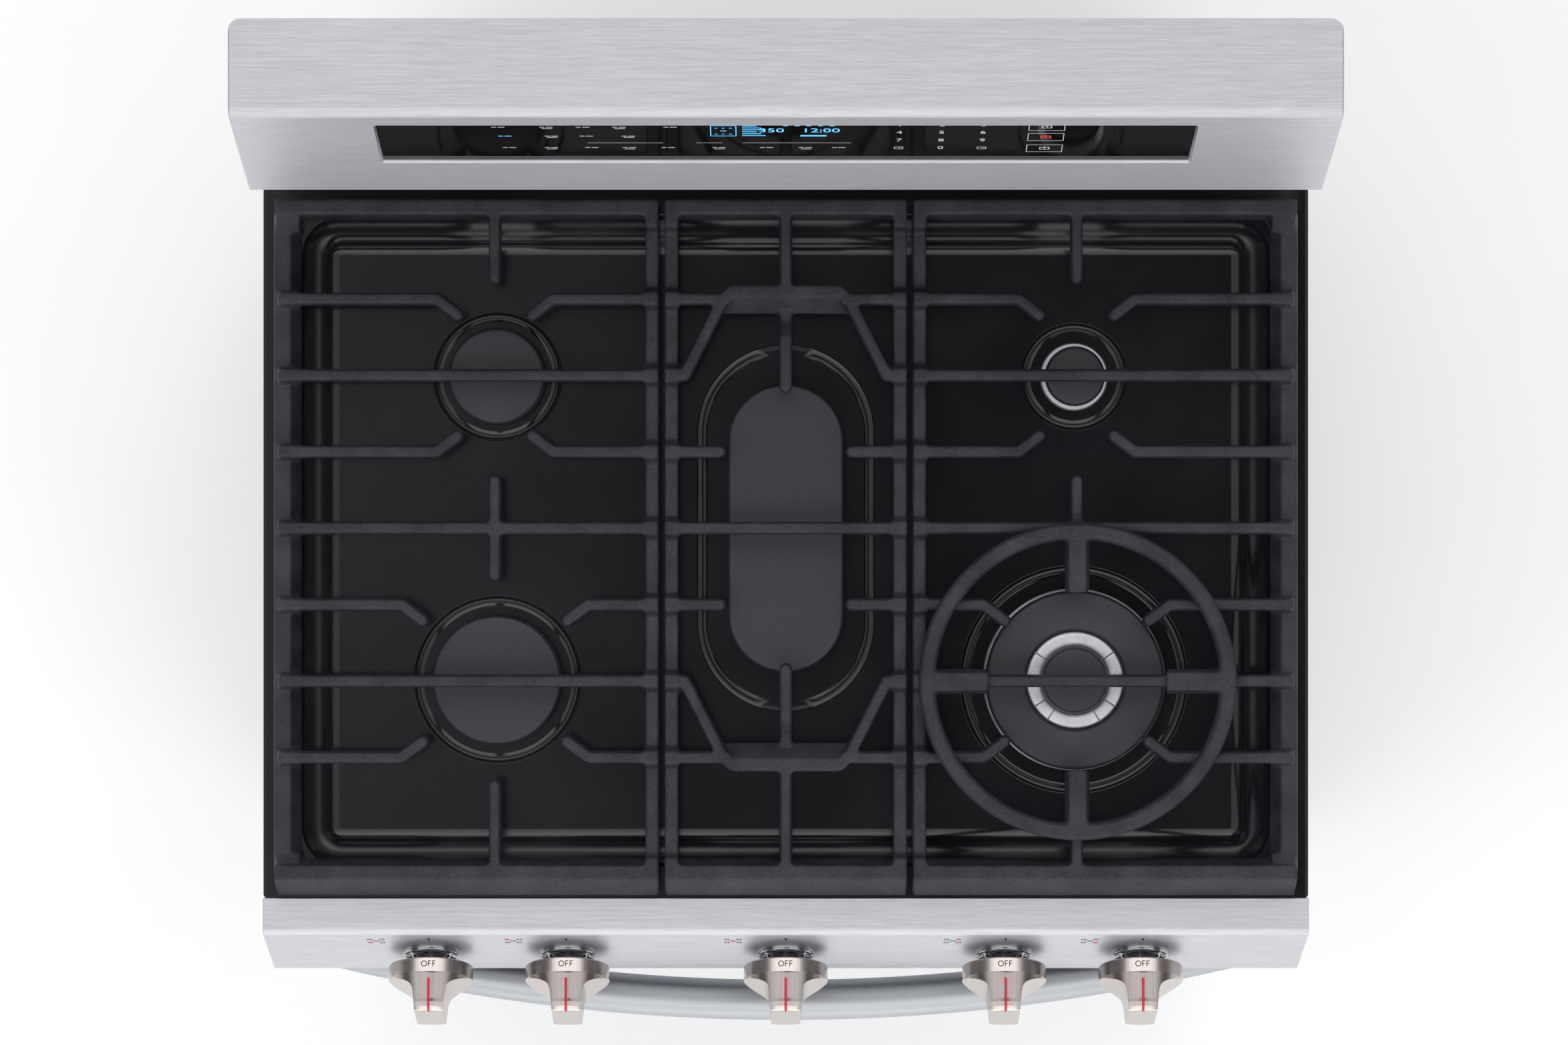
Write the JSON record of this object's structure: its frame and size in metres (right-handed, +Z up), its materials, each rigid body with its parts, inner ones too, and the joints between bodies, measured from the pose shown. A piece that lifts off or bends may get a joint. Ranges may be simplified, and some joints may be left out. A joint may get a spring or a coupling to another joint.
{
  "type": "freestanding gas range",
  "caption": "Freestanding gas range with cast-iron grates, oval centre burner, wok ring, touch-glass backguard, oven with drop-down door and a drawer.",
  "frame": {"origin": "centre of the bounding footprint at floor level, under the feet", "axes": "+X to the right of a person facing the range, -Y out of the front (door and knobs), +Z up"},
  "size_m": [0.759, 0.717, 1.197],
  "materials": {
    "stainless": "fine horizontal brushing, satin",
    "nickel": "satin nickel plate, brushed",
    "enamel": "gloss black porcelain enamel on pressed steel",
    "cap_enamel": "matte black enamel",
    "cast_iron": "matte black, fine cast grain",
    "cavity_enamel": "dark blue-grey speckled enamel",
    "aluminium": "satin cast or turned",
    "galvanised": "plain zinc coated sheet",
    "chrome": "bright wire plating",
    "black_glass": "black backed tempered glass",
    "brass": "turned",
    "board": "circuit board laminate",
    "gasket": "woven glass fibre braid",
    "paint": "dark satin paint"
  },
  "bodies": {
    "range_body": {"leg_left_front": "paint", "leg_right_front": "paint", "leg_left_rear": "paint", "leg_right_rear": "paint", "side_panel_left": "paint", "side_panel_right": "paint", "base_frame": "galvanised", "fan_motor": "galvanised", "rear_panel": "galvanised", "control_panel": "stainless", "backguard_shell": "stainless", "oven_cavity": "cavity_enamel", "fan_cover": "cavity_enamel", "door_gasket": "gasket", "bake_burner": "aluminium", "broil_burner": "aluminium", "burner_head_left_front": "aluminium", "burner_head_left_rear": "aluminium", "burner_head_centre": "aluminium", "burner_head_right_rear": "aluminium", "burner_head_right_front": "aluminium", "control_glass": "black_glass", "gas_manifold": "brass", "cooktop": "enamel", "backguard_riser": "enamel", "control_board": "board"},
    "door": {"door_skin": "stainless", "door_window": "black_glass", "door_liner": "cavity_enamel", "door_inner_glass": "black_glass", "door_handle": "stainless", "handle_mount_left": "stainless", "handle_mount_right": "stainless", "door_hinge_left": "galvanised", "door_hinge_right": "galvanised"},
    "drawer": {"drawer_front": "stainless", "drawer_box": "galvanised"},
    "rack_lower": {"oven_rack_lower": "chrome"},
    "rack_upper": {"oven_rack_upper": "chrome"},
    "fan_wheel": {"fan_blade": "galvanised"},
    "grate_left": {"grate_left": "cast_iron"},
    "grate_centre": {"grate_centre": "cast_iron"},
    "grate_right": {"grate_right": "cast_iron"},
    "wok_ring": {"wok_ring": "cast_iron"},
    "cap_right_front_inner": {"burner_cap_right_front_inner": "cap_enamel"},
    "stem_left_front": {"valve_stem_left_front": "aluminium"},
    "knob_left_front": {"knob_left_front": "nickel"},
    "cap_left_front": {"burner_cap_left_front": "cap_enamel"},
    "stem_left_rear": {"valve_stem_left_rear": "aluminium"},
    "knob_left_rear": {"knob_left_rear": "nickel"},
    "cap_left_rear": {"burner_cap_left_rear": "cap_enamel"},
    "stem_centre": {"valve_stem_centre": "aluminium"},
    "knob_centre": {"knob_centre": "nickel"},
    "cap_centre": {"burner_cap_centre": "cap_enamel"},
    "stem_right_rear": {"valve_stem_right_rear": "aluminium"},
    "knob_right_rear": {"knob_right_rear": "nickel"},
    "cap_right_rear": {"burner_cap_right_rear": "cap_enamel"},
    "stem_right_front": {"valve_stem_right_front": "aluminium"},
    "knob_right_front": {"knob_right_front": "nickel"},
    "cap_right_front": {"burner_cap_right_front": "cap_enamel"}
  },
  "joints": [
    {"name": "door_hinge", "type": "hinge", "parent": "range_body", "child": "door", "pos_m": [0, -0.2685, 0.276], "axis": [1, 0, 0], "range_deg": [0, 88], "stiffness_Nm_per_rad": 25, "springref_deg": -8.59},
    {"name": "drawer_slide", "type": "slide", "parent": "range_body", "child": "drawer", "axis": [0, -1, 0], "range_m": [0, 0.4]},
    {"name": "rack_lower_slide", "type": "slide", "parent": "range_body", "child": "rack_lower", "axis": [0, -1, 0], "range_m": [0, 0.02]},
    {"name": "rack_upper_slide", "type": "slide", "parent": "range_body", "child": "rack_upper", "axis": [0, -1, 0], "range_m": [0, 0.02]},
    {"name": "fan_spin", "type": "hinge", "parent": "range_body", "child": "fan_wheel", "pos_m": [0, 0.28, 0.52], "axis": [0, 1, 0], "continuous": true},
    {"name": "knob_push_left_front", "type": "slide", "parent": "range_body", "child": "stem_left_front", "axis": [0, 0.9497, -0.313], "range_m": [0, 0.004], "stiffness_N_per_m": 1000, "springref_m": -0.005},
    {"name": "knob_turn_left_front", "type": "hinge", "parent": "stem_left_front", "child": "knob_left_front", "pos_m": [-0.26, -0.3023, 0.876], "axis": [0, -0.9497, 0.313], "range_deg": [0, 220]},
    {"name": "knob_push_left_rear", "type": "slide", "parent": "range_body", "child": "stem_left_rear", "axis": [0, 0.9497, -0.313], "range_m": [0, 0.004], "stiffness_N_per_m": 1000, "springref_m": -0.005},
    {"name": "knob_turn_left_rear", "type": "hinge", "parent": "stem_left_rear", "child": "knob_left_rear", "pos_m": [-0.16, -0.3023, 0.876], "axis": [0, -0.9497, 0.313], "range_deg": [0, 220]},
    {"name": "knob_push_centre", "type": "slide", "parent": "range_body", "child": "stem_centre", "axis": [0, 0.9497, -0.313], "range_m": [0, 0.004], "stiffness_N_per_m": 1000, "springref_m": -0.005},
    {"name": "knob_turn_centre", "type": "hinge", "parent": "stem_centre", "child": "knob_centre", "pos_m": [0, -0.3023, 0.876], "axis": [0, -0.9497, 0.313], "range_deg": [0, 220]},
    {"name": "knob_push_right_rear", "type": "slide", "parent": "range_body", "child": "stem_right_rear", "axis": [0, 0.9497, -0.313], "range_m": [0, 0.004], "stiffness_N_per_m": 1000, "springref_m": -0.005},
    {"name": "knob_turn_right_rear", "type": "hinge", "parent": "stem_right_rear", "child": "knob_right_rear", "pos_m": [0.16, -0.3023, 0.876], "axis": [0, -0.9497, 0.313], "range_deg": [0, 220]},
    {"name": "knob_push_right_front", "type": "slide", "parent": "range_body", "child": "stem_right_front", "axis": [0, 0.9497, -0.313], "range_m": [0, 0.004], "stiffness_N_per_m": 1000, "springref_m": -0.005},
    {"name": "knob_turn_right_front", "type": "hinge", "parent": "stem_right_front", "child": "knob_right_front", "pos_m": [0.26, -0.3023, 0.876], "axis": [0, -0.9497, 0.313], "range_deg": [0, 220]},
    {"name": "grate_left_lift", "type": "slide", "parent": "range_body", "child": "grate_left", "axis": [0, 0, 1], "range_m": [0, 0.15]},
    {"name": "grate_centre_lift", "type": "slide", "parent": "range_body", "child": "grate_centre", "axis": [0, 0, 1], "range_m": [0, 0.15]},
    {"name": "grate_right_lift", "type": "slide", "parent": "range_body", "child": "grate_right", "axis": [0, 0, 1], "range_m": [0, 0.15]},
    {"name": "wok_ring_lift", "type": "slide", "parent": "grate_right", "child": "wok_ring", "axis": [0, 0, 1], "range_m": [0, 0.15]},
    {"name": "cap_lift_left_front", "type": "slide", "parent": "range_body", "child": "cap_left_front", "axis": [0, 0, 1], "range_m": [0, 0.009]},
    {"name": "cap_lift_left_rear", "type": "slide", "parent": "range_body", "child": "cap_left_rear", "axis": [0, 0, 1], "range_m": [0, 0.009]},
    {"name": "cap_lift_centre", "type": "slide", "parent": "range_body", "child": "cap_centre", "axis": [0, 0, 1], "range_m": [0, 0.009]},
    {"name": "cap_lift_right_rear", "type": "slide", "parent": "range_body", "child": "cap_right_rear", "axis": [0, 0, 1], "range_m": [0, 0.009]},
    {"name": "cap_lift_right_front", "type": "slide", "parent": "range_body", "child": "cap_right_front", "axis": [0, 0, 1], "range_m": [0, 0.009]},
    {"name": "cap_lift_right_front_inner", "type": "slide", "parent": "range_body", "child": "cap_right_front_inner", "axis": [0, 0, 1], "range_m": [0, 0.009]}
  ]
}
